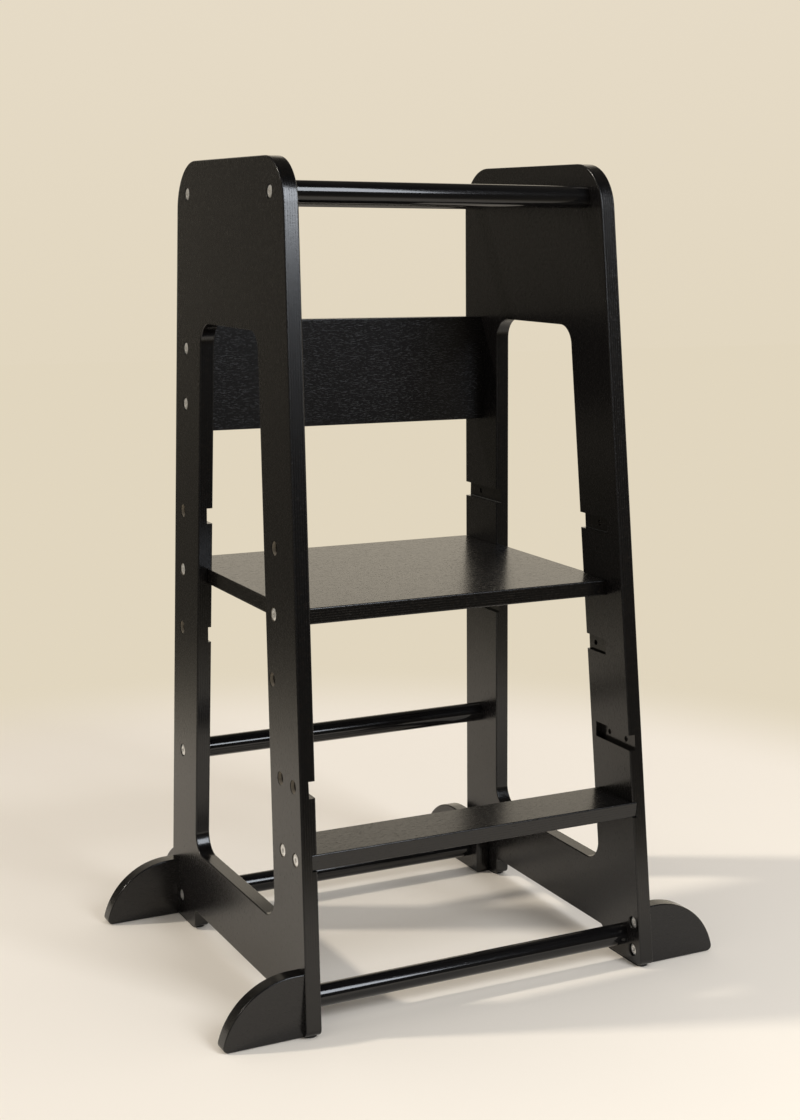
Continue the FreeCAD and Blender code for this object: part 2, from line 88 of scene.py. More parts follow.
class LacqueredPlywood(bpy.types.PropertyGroup):
    """Black lacquer over birch plywood."""
    lacquer: colour("Lacquer", "Colour of the black lacquer", (0.0050, 0.0045, 0.0047))
    worn_brown: colour("Thin lacquer", "Where the lacquer is thin on the plies", (0.011, 0.0078, 0.0058))
    birch: colour("Bare birch", "Wood in the empty counterbores", (0.30, 0.265, 0.215))
    routed: colour("Routed wood", "Thin lacquer on the floors of the grooves", (0.055, 0.056, 0.055))
    gloss: share("Face roughness", "Roughness of the lacquered faces", 0.24)
    edge_gloss: share("Edge roughness", "Roughness of the long-grain plies on the edges", 0.15)
    end_grain_gloss: share("End-grain roughness", "Roughness of the end-grain plies on the edges", 0.20)
    routed_gloss: share("Routed roughness", "Roughness of the floors of the grooves", 0.50)
    bare_gloss: share("Bare roughness", "Roughness of the bare birch", 0.7)
    ply: length("Ply", "Thickness of one of the thirteen plies", 18.0 / 13.0)
    pore_length: length("Pore length", "Along the grain", 5.0)
    pore_width: length("Pore width", "Across the grain", 0.35)
    pore_depth: length("Pore depth", "How deep the pores show through the lacquer", 0.024)
    ply_depth: length("Ply depth", "How uneven the plies are on the edges", 0.04)
    figure_width: length("Figure width", "Width of the veneer's figure", 9.0)
    panel_relief: amount("Panel relief", "Pores of the side panels, in times the pore depth", 0.7)
    board_relief: amount("Board relief", "Pores of platform and step, in times the pore depth", 1.6)
    back_relief: amount("Back relief", "Pores of the back board, in times the pore depth", 1.5)


class GlossRail(bpy.types.PropertyGroup):
    """Gloss lacquer of the round rails."""
    lacquer: colour("Lacquer", "Colour of the gloss lacquer", (0.0045, 0.0043, 0.0045))
    gloss: share("Roughness", "Roughness of the gloss lacquer", 0.10)
    streak_length: length("Streak length", "Along the rail", 60.0)
    streak_width: length("Streak width", "Round the rail", 2.5)
    streak_depth: length("Streak depth", "Unevenness of the turned rod", 0.010)
    speck_depth: length("Speck depth", "Height of specks and fine streaks", 0.0025)


class ZincFasteners(bpy.types.PropertyGroup):
    """Finish and shape of the bolts."""
    zinc: colour("Zinc", "Bright zinc of bolts and washers", (0.90, 0.895, 0.88))
    sleeve: colour("Sleeve", "Plain zinc of the threaded sleeves", (0.56, 0.54, 0.48))
    gloss: share("Roughness", "Roughness of the zinc", 0.34)
    metal: share("Metal", "How metallic the plating is, under its clear passivation", 0.78)
    grain_depth: length("Grain depth", "Unevenness of the plating", 0.004)
    mark_width: length("Turning marks", "Distance between the turning marks", 0.16)
    mark_depth: length("Mark depth", "Depth of the turning marks", 0.012)
    socket_flats: length("Socket", "Across the flats of the hexagonal socket", 5.0)
    socket_depth: length("Socket depth", "Depth of the socket", 2.0)
    socket_chamfer: length("Socket chamfer", "At the mouth of the socket", 0.25)
    seat_chamfer: length("Seat chamfer", "Under the rim of the head", 0.15)
    head_height: length("Head height", "Height of the head", 3.0)
    head_radius: length("Head radius", "Radius of the head", 7.0)
    head_rounding: length("Head rounding", "At the outer rim of the head", 1.0)
    head_dome: length("Head dome", "How much lower the head's rim is than its middle", 0.45)
    shank_radius: length("Shank radius", "Over the threads", 3.0)
    thread_pitch: length("Thread pitch", "Travel in one turn", 1.0)
    thread_depth: length("Thread depth", "Depth of the threads", 0.55)
    around: IntProperty(name="Segments", description="Around a bolt, a multiple of six", default=48, min=12)


class Pads(bpy.types.PropertyGroup):
    """Felt pads under the legs."""
    felt: colour("Felt", "Colour of the pads", (0.018, 0.017, 0.016))
    fibre: length("Fibre", "Size of the felt's fibres", 0.3)
    nap: length("Nap", "Height of the fibres", 0.2)


class Stage(bpy.types.PropertyGroup):
    """Floor, background and lamps."""
    floor: colour("Floor", "Colour of the floor", (0.93, 0.865, 0.775))
    backdrop: colour("Backdrop", "Colour behind the stool", (0.755, 0.672, 0.520))
    backdrop_high: colour("Backdrop, high", "Colour high up behind the stool", (0.800, 0.716, 0.580))
    room: colour("Room", "Colour of the light from all round", (1.0, 0.97, 0.93))
    key: colour("Key colour", "Colour of the key light", (1.0, 0.93, 0.82))
    daylight: colour("Window colour", "Colour of the window's light", (0.88, 0.93, 1.0))
    floor_half: length("Floor half", "From the middle of the floor to its side", 9000.0)
    floor_radius: length("Floor radius", "Where the floor starts to fade into the backdrop", 880.0)
    floor_fade: length("Floor fade", "Width of the fade", 450.0)
    sky: amount("Room light", "Level of the light from all round", 0.57)
    sun: amount("Key light", "Strength of the key light", 1.25)
    window: amount("Window", "Power of the window lamp", 42.0, "POWER")
    window_gloss: amount("Window in the gloss", "Power that shows in reflections alone", 42.0, "POWER")
    window_width: length("Window width", "Width of the window", 880.0)
    window_height: length("Window height", "Height of the window", 1440.0)


class View(bpy.types.PropertyGroup):
    """The photograph's viewpoint."""
    place: FloatVectorProperty(name="Place", description="Where the camera stands", subtype="XYZ",
                               unit="LENGTH", precision=5, default=(-0.944869, -1.870783, 0.859192))
    turn: FloatProperty(name="Turn", description="From +Y towards +X", subtype="ANGLE", default=0.4734)
    down: FloatProperty(name="Down", description="Below the horizon", subtype="ANGLE", default=0.1861)
    roll: FloatProperty(name="Roll", description="About the line of sight", subtype="ANGLE", default=0.0095)
    lens: amount("Lens", "Focal length for a 36 mm sensor", 56.731, "CAMERA")


class StoolSettings(bpy.types.PropertyGroup):
    """All the stool's sizes and colours."""
    plywood: PointerProperty(type=LacqueredPlywood)
    rail: PointerProperty(type=GlossRail)
    zinc: PointerProperty(type=ZincFasteners)
    pads: PointerProperty(type=Pads)
    stage: PointerProperty(type=Stage)
    view: PointerProperty(type=View)


def settings():
    return bpy.context.scene.helper_stool


# ---- where the sheets and the holes lie, in metres ---------------------------------------------------
def bolt_axis(node):
    """Y and Z of the axis of a bolt, which lies along X."""
    low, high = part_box(node)
    return (low.y + high.y) / 2, (low.z + high.z) / 2


SHEET = 18.0 * MILLIMETRE
LEAN = math.tan(math.radians(1.25))                          # of each panel, inwards
FRONT_SLOPE = (422.0 - 313.0) / 931.0                        # a panel's bottom and top depth, over its height
TOP_CLEAR_WIDTH = 373.0 * MILLIMETRE                         # between the panels
PANEL_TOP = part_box("left_side_panel")[1].z
INNER_HALF = TOP_CLEAR_WIDTH / 2 + PANEL_TOP * LEAN          # a panel's inner face, carried to the floor

COUNTERBORE = 7.7 * MILLIMETRE                               # radius
COUNTERBORE_FLOOR = 4.8 * MILLIMETRE                         # bare walls end above this depth
COUNTERBORE_RIM = (1.1 * MILLIMETRE, 0.6 * MILLIMETRE)       # and start between these depths
WALL_BAND = (0.12 * MILLIMETRE, 0.3 * MILLIMETRE)            # off the wall: still the wall, and no longer
LEVEL_MARGIN = 10.5 * MILLIMETRE                             # past the outer holes of a column
PLATFORM_SPACING = 72.5 * MILLIMETRE
STEP_SPACING = 79.0 * MILLIMETRE
GROOVE_FLOOR = (4.8 * MILLIMETRE, 7.2 * MILLIMETRE)          # depths between which a groove's floor lies
FACES_SIDEWAYS = 0.9                                         # part of a normal along X


# ---- shader helpers ----------------------------------------------------------------------------------
class Number:
    """A number in a shader tree. Arithmetic with it adds Math nodes, and a comparison gives 1 or 0."""

    def __init__(self, shading, socket):
        self.shading = shading
        self.socket = socket

    def __add__(self, other):
        return self.shading.math("ADD", self, other)

    def __sub__(self, other):
        return self.shading.math("SUBTRACT", self, other)

    def __rsub__(self, other):
        return self.shading.math("SUBTRACT", other, self)

    def __mul__(self, other):
        return self.shading.math("MULTIPLY", self, other)

    def __truediv__(self, other):
        return self.shading.math("DIVIDE", self, other)

    def __gt__(self, other):
        return self.shading.math("GREATER_THAN", self, other)

    def __lt__(self, other):
        return self.shading.math("LESS_THAN", self, other)

    def __abs__(self):
        return self.shading.math("ABSOLUTE", self)


class Shading:
    """Short calls for a shader tree: each adds a node and gives back its output."""

    def __init__(self, tree):
        self.tree = tree
        tree.nodes.clear()

    def feed(self, socket, value):
        """Links a number or another node's output to the socket, or sets the socket's own value."""
        if isinstance(value, Number):
            value = value.socket
        if isinstance(value, bpy.types.NodeSocket):
            self.tree.links.new(value, socket)
        else:
            socket.default_value = value

    def add(self, kind, values=None, **options):
        node = self.tree.nodes.new(kind)
        for key, value in options.items():
            setattr(node, key, value)
        for key, value in (values or {}).items():
            self.feed(node.inputs[key], value)
        return node

    def math(self, operation, *values):
        node = self.add("ShaderNodeMath", operation=operation)
        for socket, value in zip(node.inputs, values):
            self.feed(socket, value)
        return Number(self, node.outputs[0])

    def distance(self, aside, rise):
        """Length of the slope over two legs."""
        return self.math("SQRT", aside * aside + rise * rise)

    def larger(self, first, second):
        return self.math("MAXIMUM", first, second)

    def step(self, value, low, high, to_low=0.0, to_high=1.0):
        """Smooth rise from to_low at low to to_high at high."""
        node = self.add("ShaderNodeMapRange", interpolation_type="SMOOTHSTEP")
        for key, number in zip(("Value", "From Min", "From Max", "To Min", "To Max"),
                               (value, low, high, to_low, to_high)):
            self.feed(node.inputs[key], number)
        return Number(self, node.outputs[0])

    def blend(self, factor, first, second):
        """Colour between first and second."""
        node = self.add("ShaderNodeMix", data_type="RGBA")
        first_colour, second_colour, result = 6, 7, 2
        self.feed(node.inputs[0], factor)
        self.feed(node.inputs[first_colour], first)
        self.feed(node.inputs[second_colour], second)
        return node.outputs[result]

    def between(self, factor, first, second):
        """Number between first and second."""
        return first * (1.0 - factor) + factor * second

    def stretched(self, position, *sizes):
        """The position, with each axis divided by the size of a feature along it, or all by one size."""
        node = self.add("ShaderNodeMapping", {"Vector": position}, vector_type="POINT")
        node.inputs["Scale"].default_value = [1.0 / size for size in (sizes * 3)[:3]]
        return node.outputs[0]

    def noise(self, vector, detail=2.0, roughness=0.5, distortion=0.0):
        return Number(self, self.add("ShaderNodeTexNoise", {
            "Vector": vector, "Scale": 1.0, "Detail": detail, "Roughness": roughness,
            "Distortion": distortion}).outputs["Fac"])

    def parts(self, vector):
        """The three parts of a vector."""
        outputs = self.add("ShaderNodeSeparateXYZ", {"Vector": vector}).outputs
        return tuple(Number(self, outputs[axis]) for axis in "XYZ")

    def position(self):
        """Object position, and its three parts."""
        place = self.add("ShaderNodeTexCoord").outputs["Object"]
        return (place, *self.parts(place))

    def bump(self, height, depth, onto=None):
        values = {"Height": height, "Distance": depth, "Strength": 1.0}
        if onto is not None:
            values["Normal"] = onto
        return self.add("ShaderNodeBump", values).outputs[0]

    def finish(self, kind, shader):
        """Ends the tree of a material or of a world."""
        self.tree.links.new(shader.outputs[0], self.add("ShaderNodeOutput" + kind).inputs["Surface"])


def opaque(value, brightness=1.0):
    """The colour, brighter or darker, with its alpha."""
    return (*[part * brightness for part in value], 1.0)


def new_material(name):
    material = bpy.data.materials.new(name)
    material.use_nodes = True
    return material, Shading(material.node_tree)


def finish_surface(shading, base, roughness, normal, metallic=0.0):
    shading.finish("Material", shading.add("ShaderNodeBsdfPrincipled", {
        "Base Color": base, "Roughness": roughness, "Normal": normal, "IOR": 1.5, "Metallic": metallic}))


# ---- black lacquer over birch plywood ----------------------------------------------------------------
# Length of the figure in times its width, and length and width of a fibre in times a pore's
FIGURE_STRETCH, FIBRE_STRETCH, FIBRE_BREADTH = 16, 3, 1.6
# Sizes of features, in metres
PLY_WAVES, PLY_WAVERING = 20.0 * MILLIMETRE, 0.45 * MILLIMETRE
SPECKLE_THROUGH, SPECKLE_ALONG = 0.45 * MILLIMETRE, 2.1 * MILLIMETRE
PATCH = 6.0 * MILLIMETRE
BIRCH_GRAIN = (1.5 * MILLIMETRE, 6.0 * MILLIMETRE, 0.6 * MILLIMETRE)
PLIES = 13
# Where a feature starts and is full, in its noise or, for the end grain, in parts of two plies
PORE, DASH, THIN, END_GRAIN = (0.60, 0.72), (0.55, 0.68), (0.24, 0.42), (0.22, 0.28)
# Brightness of a colour: darkest and lightest figure, pores, edges, and darkest birch
DARK, LIGHT, IN_PORES, ON_EDGES, DARK_BIRCH = 0.62, 1.35, 0.4, 0.55, 0.7
# Shares of figure, fibre, pores and thin lacquer in the colour
FIGURE_SHARE, FIBRE_SHARE, PORE_SHARE, THIN_SHARE = 0.7, 0.5, 0.6, 0.45
# What fibre, pores and dashes add to the roughness, and what balances the mean of fibre and pores
FIBRE_MATT, PORE_MATT, DASH_MATT, MEAN_MATT = 0.09, 0.10, 0.06, 0.045
# Heights of the fibre, of long-grain plies, of what end grain has besides, and depth of the dashes
FIBRE_RISE, PLY_RISE, END_GRAIN_RISE, DASH_SINK = 0.45, 0.35, 0.7, 0.9


def empty_hole_walls(shading, y, z, depth):
    """1 on the walls of the counterbores in a side panel, by the distance from their axes.

    The holes stand in two upright columns at the platform's levels, and in two columns that lean with
    the front edge at the step's levels.
    """
    def column(bolt, spacing, below, above, slope=0.0):
        """Holes at the bolt and at the levels below and above it. With a slope, the hole at the next
        level up lies further back by that slope."""
        across, level = bolt_axis(bolt)
        rise = shading.math("WRAP", z - level, spacing / 2, -spacing / 2)
        upper = z > level + spacing / 2
        aside = y - across - upper * (slope * spacing)
        off_wall = abs(shading.distance(aside, rise) - COUNTERBORE)
        wall = shading.step(off_wall, *WALL_BAND, 1.0, 0.0)
        lowest = level - below * spacing - LEVEL_MARGIN
        highest = level + above * spacing + LEVEL_MARGIN
        return wall * (z > lowest) * (z < highest)

    walls = 0.0
    for place in ("rear", "front"):
        walls = shading.larger(walls, column("left_platform_" + place + "_bolt", PLATFORM_SPACING, 1, 1))
        walls = shading.larger(walls, column("left_step_" + place + "_bolt", STEP_SPACING, 0, 1, FRONT_SLOPE))
    rim_low, rim_high = (SHEET - rim for rim in COUNTERBORE_RIM)
    return walls * shading.step(depth, rim_low, rim_high, 1.0, 0.0) * (depth > SHEET - COUNTERBORE_FLOOR)


def groove_floors(shading, depth):
    """1 on the routed floors of a side panel's grooves, which face inwards."""
    normal = shading.add("ShaderNodeTexCoord").outputs["Normal"]
    shallowest, deepest = GROOVE_FLOOR
    return (depth > shallowest) * (depth < deepest) * (abs(shading.parts(normal)[0]) > FACES_SIDEWAYS)


def lacquered_plywood(name, grain, across, sheet_depth, relief=1.0, holes=False):
    """Black lacquer over birch plywood whose face grain runs along one axis and its thickness across.

    sheet_depth gives the depth into the sheet from one of its faces. Every other ply shows end grain on an
    edge: it is duller and more porous than the long-grain plies between. relief multiplies the
    depth of the face's pores.
    """
    look = settings().plywood
    material, shading = new_material(name)
    place, x, y, z = shading.position()
    depth = sheet_depth(x, y, z)

    def sized(axis, there, elsewhere):
        """The position over a feature's size, which is there along the axis and elsewhere along the rest."""
        return shading.stretched(place, *[there if letter == axis else elsewhere for letter in "XYZ"])

    figure = shading.noise(sized(grain, look.figure_width * FIGURE_STRETCH, look.figure_width),
                           detail=3.0, roughness=0.55, distortion=1.2)
    fibre = shading.noise(sized(grain, look.pore_length * FIBRE_STRETCH, look.pore_width * FIBRE_BREADTH),
                          detail=3.0, roughness=0.6)
    pores = shading.step(shading.noise(sized(grain, look.pore_length, look.pore_width),
                                       detail=1.0, roughness=0.4), *PORE)

    # The plies are counted from 0 at one face. The outer two are the faces' own veneers.
    wavering = (shading.noise(shading.stretched(place, PLY_WAVES)) - 0.5) * PLY_WAVERING
    layer = (depth + wavering) / look.ply
    inside = (layer > 1.0) * (layer < PLIES - 1.0)
    outside = 1.0 - inside
    to_middle = abs(shading.math("FRACT", (layer + 0.5) * 0.5) - 0.5)
    end_grain = shading.step(to_middle, *END_GRAIN) * inside
    speckle = shading.noise(sized(across, SPECKLE_THROUGH, SPECKLE_ALONG), roughness=0.6)
    dashes = end_grain * shading.step(speckle, *DASH)
    patch = shading.noise(shading.stretched(place, PATCH), roughness=0.6)
    thin = shading.step(speckle * patch, *THIN) * inside

    tone = figure * FIGURE_SHARE + fibre * FIBRE_SHARE
    base = shading.blend(tone, opaque(look.lacquer, DARK), opaque(look.lacquer, LIGHT))
    base = shading.blend(pores * PORE_SHARE, base, opaque(look.lacquer, IN_PORES))
    base = shading.blend(inside, base, opaque(look.lacquer, ON_EDGES))
    base = shading.blend(thin * THIN_SHARE, base, opaque(look.worn_brown))

    face_gloss = fibre * FIBRE_MATT + (pores * PORE_MATT + (look.gloss - MEAN_MATT))
    edge_gloss = dashes * DASH_MATT + (end_grain * (look.end_grain_gloss - look.edge_gloss) + look.edge_gloss)
    roughness = face_gloss * outside + edge_gloss * inside

    face_relief = (fibre * FIBRE_RISE - pores) * outside
    edge_relief = inside * (speckle * (end_grain * END_GRAIN_RISE + PLY_RISE) - dashes * DASH_SINK)
    normal = shading.bump(face_relief, look.pore_depth * relief)
    normal = shading.bump(edge_relief, look.ply_depth, normal)

    if holes:
        bare = empty_hole_walls(shading, y, z, depth)
        birch = shading.blend(shading.noise(shading.stretched(place, *BIRCH_GRAIN), detail=3.0),
                              opaque(look.birch, DARK_BIRCH), opaque(look.birch))
        base = shading.blend(bare, base, birch)
        roughness = shading.between(bare, roughness, look.bare_gloss)
        routed = groove_floors(shading, depth)
        base = shading.blend(routed, base, opaque(look.routed))
        roughness = shading.between(routed, roughness, look.routed_gloss)
    finish_surface(shading, base, roughness, normal)
    return material


def leaning_depth(x, y, z):
    """Into a leaning panel from its inner face: |x| less the inner face's x at this height."""
    return abs(x) + (z * LEAN - INNER_HALF)


def back_foot_depth(x, y, z):
    """Into a back foot, which lies on the inner side of its panel."""
    return leaning_depth(x, y, z) + SHEET


def level_depth(node):
    """Into a level board, from its underside."""
    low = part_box(node)[0].z
    return lambda x, y, z: z - low


def upright_depth(node):
    """Into an upright board that faces the front, from its front."""
    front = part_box(node)[0].y
    return lambda x, y, z: y - front


# ---- surfaces that keep their solid's form -----------------------------------------------------------
SMOOTH_TURN = math.radians(30)        # faces that turn less than this from each other are lit as one
NORMAL_STEPS = 500                    # faces are in one plane when their normals agree to 1/500,
HEIGHT_STEPS = 20000                  # and their heights over the origin to 1/20000 m
SAME_POINT = 1e-7                     # points closer than this, in metres, are one


def merge_points(mesh):
    """Merges the points that lie on each other."""
    work = bmesh.new()
    work.from_mesh(mesh)
    bmesh.ops.remove_doubles(work, verts=work.verts, dist=SAME_POINT)
    work.to_mesh(mesh)
    work.free()


def plane_areas(normals, areas, heights):
    """For each face, the area of all the faces that lie in its plane."""
    planes = np.round(np.column_stack([normals * NORMAL_STEPS, heights * HEIGHT_STEPS])).astype(int)
    plane = np.unique(planes, axis=0, return_inverse=True)[1].reshape(-1)
    return np.bincount(plane, weights=areas)[plane]


def corner_pairs(corners):
    """Each corner with each corner at the same point, itself among them, as two arrays of indices."""
    order = np.argsort(corners, kind="stable")
    meeting = np.bincount(corners)
    first = np.cumsum(meeting) - meeting
    partners = meeting[corners]
    own = np.repeat(np.arange(len(corners)), partners)
    nth = np.arange(len(own)) - np.repeat(np.cumsum(partners) - partners, partners)
    return own, order[first[corners[own]] + nth]


def even_normals(mesh):
    """Normals that let light run smoothly from flat faces over rounded edges.

    A corner's normal is the mean of the normals of the faces at its point that turn less than SMOOTH_TURN
    from its own face, each weighted by the area of the whole plane that the face lies in. The mesh has
    only triangles, so corner n is on face n // 3.
    """
    count = len(mesh.polygons)
    normals, areas = np.zeros(count * 3), np.zeros(count)
    mesh.polygons.foreach_get("normal", normals)
    mesh.polygons.foreach_get("area", areas)
    normals = normals.reshape(-1, 3)
    corners = np.zeros(len(mesh.loops), dtype=int)
    mesh.loops.foreach_get("vertex_index", corners)
    places = np.zeros(len(mesh.vertices) * 3)
    mesh.vertices.foreach_get("co", places)
    heights = (normals * places.reshape(-1, 3)[corners[::3]]).sum(1)
    weights = plane_areas(normals, areas, heights)

    own, partner = corner_pairs(corners)
    face, other = own // 3, partner // 3
    near = (normals[face] * normals[other]).sum(1) > math.cos(SMOOTH_TURN)
    weighted = (weights[other] * near)[:, None] * normals[other]
    summed = np.column_stack([np.bincount(own, weights=weighted[:, axis], minlength=len(corners))
                              for axis in range(3)])
    summed /= np.linalg.norm(summed, axis=1, keepdims=True)
    mesh.normals_split_custom_set(summed.tolist())


def smooth_copy(node, body, material):
    """The node's own surface with its points merged and its normals evened."""
    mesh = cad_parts[node].data.copy()
    mesh.name = node + "_lacquered"
    merge_points(mesh)
    mesh.shade_smooth()
    even_normals(mesh)
    mesh.materials.clear()
    mesh.materials.append(material)
    piece = bpy.data.objects.new(node + "_lacquered", mesh)
    bpy.context.scene.collection.objects.link(piece)
    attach(piece, body)
    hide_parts(node)
    return piece


def dress(node, material):
    """Gives a CAD node its material."""
    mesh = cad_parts[node].data
    if not mesh.materials:
        mesh.materials.append(material)
    for index in range(len(mesh.materials)):
        mesh.materials[index] = material


# ---- gloss lacquer, zinc, felt -----------------------------------------------------------------------
RAIL_FINE = (12.0 * MILLIMETRE, 0.7 * MILLIMETRE, 0.7 * MILLIMETRE)      # fine streaks along X
RAIL_SPECKS = (4.0 * MILLIMETRE, 1.2 * MILLIMETRE, 1.2 * MILLIMETRE)
SPECK = (0.68, 0.78)                        # where a speck starts and is full, in its noise
RAIL_TONES = (0.7, 1.5)                     # darkest and lightest share of the lacquer's colour
STREAK_MATT, SPECK_MATT, RAIL_MATT = 0.06, 0.12, 0.03

ZINC_GRAIN, ZINC_CLOUD = 0.6 * MILLIMETRE, 4.0 * MILLIMETRE
ZINC_DARK = 0.88
CLOUD_MATT, ZINC_MATT = 0.12, 0.05

FELT_STRETCH = 3                            # length of a fibre, in times its width
FELT_TONES = (0.5, 1.9)
FELT_ROUGHNESS = (0.2, 0.8, 0.85, 0.98)     # between these levels of the fibres, from the third to the last


def gloss_lacquer():
    """Gloss lacquer on turned rods: faint lengthwise streaks in its relief and its gloss."""
    look = settings().rail
    material, shading = new_material("gloss_black_lacquer")
    place = shading.position()[0]
    streaks = shading.noise(shading.stretched(place, look.streak_length, look.streak_width,
                                              look.streak_width), detail=3.0, roughness=0.55)
    fine = shading.noise(shading.stretched(place, *RAIL_FINE))
    specks = shading.step(shading.noise(shading.stretched(place, *RAIL_SPECKS), detail=1.0), *SPECK)
    base = shading.blend(streaks, *[opaque(look.lacquer, tone) for tone in RAIL_TONES])
    roughness = streaks * STREAK_MATT + specks * SPECK_MATT + (look.gloss - RAIL_MATT)
    normal = shading.bump(streaks, look.streak_depth)
    normal = shading.bump(fine + specks, look.speck_depth, normal)
    finish_surface(shading, base, roughness, normal)
    return material


def bright_zinc(name, tint, marks=False):
    """Zinc plating. On turned pieces, marks run round the axis at the distance kept in the mesh."""
    look = settings().zinc
    material, shading = new_material(name)
    place = shading.position()[0]
    grain = shading.noise(shading.stretched(place, ZINC_GRAIN), detail=3.0, roughness=0.6)
    cloud = shading.noise(shading.stretched(place, ZINC_CLOUD))
    base = shading.blend(cloud, opaque(tint, ZINC_DARK), opaque(tint))
    roughness = cloud * CLOUD_MATT + (look.gloss - ZINC_MATT)
    normal = shading.bump(grain, look.grain_depth)
    if marks:
        from_axis = shading.add("ShaderNodeAttribute", attribute_name="from_axis").outputs["Fac"]
        rings = shading.add("ShaderNodeTexNoise", {
            "W": Number(shading, from_axis) / look.mark_width, "Scale": 1.0, "Detail": 2.0,
        }, noise_dimensions="1D").outputs["Fac"]
        normal = shading.bump(rings, look.mark_depth, normal)
    finish_surface(shading, base, roughness, normal, metallic=look.metal)
    return material


def pad_felt():
    """Short dark fibres, matt."""
    look = settings().pads
    material, shading = new_material("pad_felt")
    place = shading.position()[0]
    fibres = shading.noise(shading.stretched(place, look.fibre, look.fibre * FELT_STRETCH, look.fibre),
                           detail=4.0, roughness=0.65, distortion=1.5)
    base = shading.blend(fibres, *[opaque(look.felt, tone) for tone in FELT_TONES])
    finish_surface(shading, base, shading.step(fibres, *FELT_ROUGHNESS), shading.bump(fibres, look.nap))
    return material


# ---- bolts -------------------------------------------------------------------------------------------
ROUNDING_POINTS = 6                    # along the head's rim, and along its dome
ROWS_PER_TURN = 8                      # along the threads
PLAIN_ROWS = 12                        # along a shank without threads
THREAD_LAND, THREAD_FLANK = 1.15, 1.3  # the flanks rise this steeply, and are cut flat above and below
RUN_IN_TURNS, RUN_IN_START = 1.5, 0.3  # over this many turns the threads get deeper, after this share of them
TWO_ROWS_HIGH = 20.0 * MILLIMETRE      # a node taller than this has two rows of bolts
BEYOND_SHANK = 5.0 * MILLIMETRE        # points further than this from the axis are on the head
SHARP_TURN = math.radians(32)


def hexagon_reach(angles, flats):
    """Distance from the middle of a hexagon to its side: half its flats over the cosine of the angle
    from the middle of that side. A corner points along angle 0."""
    sixth = math.pi / 3
    from_middle = np.mod(angles, sixth) - sixth / 2
    return flats / 2 / np.cos(from_middle)


def head_points(look, around):
    """Heights over the seat and radii of the head, from the socket's middle to the shank.

    Each row has a height, a radius, and whether it is round. The radius of a row that isn't is a share of
    the hexagon's. From the socket's mouth the head falls to its rim by the square of the way gone, and the
    rim is a quarter of an ellipse.
    """
    mouth = look.socket_flats / math.sqrt(3) + look.socket_chamfer
    top, bottom = look.head_height, look.head_height - look.socket_depth
    turn = np.linspace(0, math.pi / 2, ROUNDING_POINTS)
    rim_radius = look.head_radius - look.head_rounding * (1 - np.sin(turn))
    rim_height = top - look.head_dome - look.head_rounding * (1 - np.cos(turn))
    dome_radius = np.linspace(mouth, rim_radius[0], ROUNDING_POINTS)[1:-1]
    fall = ((dome_radius - mouth) / (rim_radius[0] - mouth)) ** 2
    rows = [(bottom, 0.0, True), (bottom, 0.5, False), (bottom, 1.0, False),
            (top - look.socket_chamfer, 1.0, False), (top, mouth, True)]
    rows += [(top - look.head_dome * lower, radius, True) for lower, radius in zip(fall, dome_radius)]
    rows += [(height, radius, True) for height, radius in zip(rim_height, rim_radius)]
    rows += [(look.seat_chamfer, look.head_radius, True), (0.0, look.head_radius - look.seat_chamfer, True),
             (0.0, look.shank_radius, True)]
    hexagon = hexagon_reach(around, look.socket_flats)
    heights = np.array([height + 0 * around for height, radius, is_round in rows])
    radii = np.array([radius + 0 * around if is_round else radius * hexagon
                      for height, radius, is_round in rows])
    return heights, radii


def bolt_points(length_under_head, threaded):
    """Grid of a hex-socket bolt, head up at 0: rows along its outline and columns around it.

    On the shank the radius falls by the thread's depth along a saw line of the height over the pitch less
    the turn, which makes a right-handed thread. The tip has a chamfer as deep as the thread.
    """
    look = settings().zinc
    around = np.linspace(0, 2 * math.pi, look.around, endpoint=False)
    head_height, head_radius = head_points(look, around)
    core = look.shank_radius - look.thread_depth
    turns = length_under_head / look.thread_pitch
    count = max(2, int(round(turns * ROWS_PER_TURN))) if threaded else PLAIN_ROWS
    down = np.linspace(0, length_under_head - look.thread_depth, count)[1:, None]
    if threaded:
        phase = np.mod(-down / look.thread_pitch - around / (2 * math.pi), 1.0)
        groove = np.clip(THREAD_LAND - np.abs(2 * phase - 1) * THREAD_FLANK, 0.0, 1.0)
        run_in = np.clip(down / (RUN_IN_TURNS * look.thread_pitch) - RUN_IN_START, 0.0, 1.0)
        shank = look.shank_radius - look.thread_depth * groove * run_in
    else:
        shank = look.shank_radius + 0 * (down + around)
    tip_height = np.full((2, look.around), -length_under_head)
    tip_radius = np.array([core + 0 * around, 0 * around])
    height = np.vstack([head_height, -down + 0 * around, tip_height])
    radius = np.vstack([head_radius, shank, tip_radius])
    return height, radius, around


def place_bolt(grid, seat, outwards):
    """The grid's points with the bolt's axis along X, and their distance from the axis."""
    height, radius, around = grid
    points = np.stack([
        seat[0] + outwards * height,
        seat[1] + radius * np.cos(around),
        seat[2] + radius * np.sin(around)], axis=-1)
    return points, radius


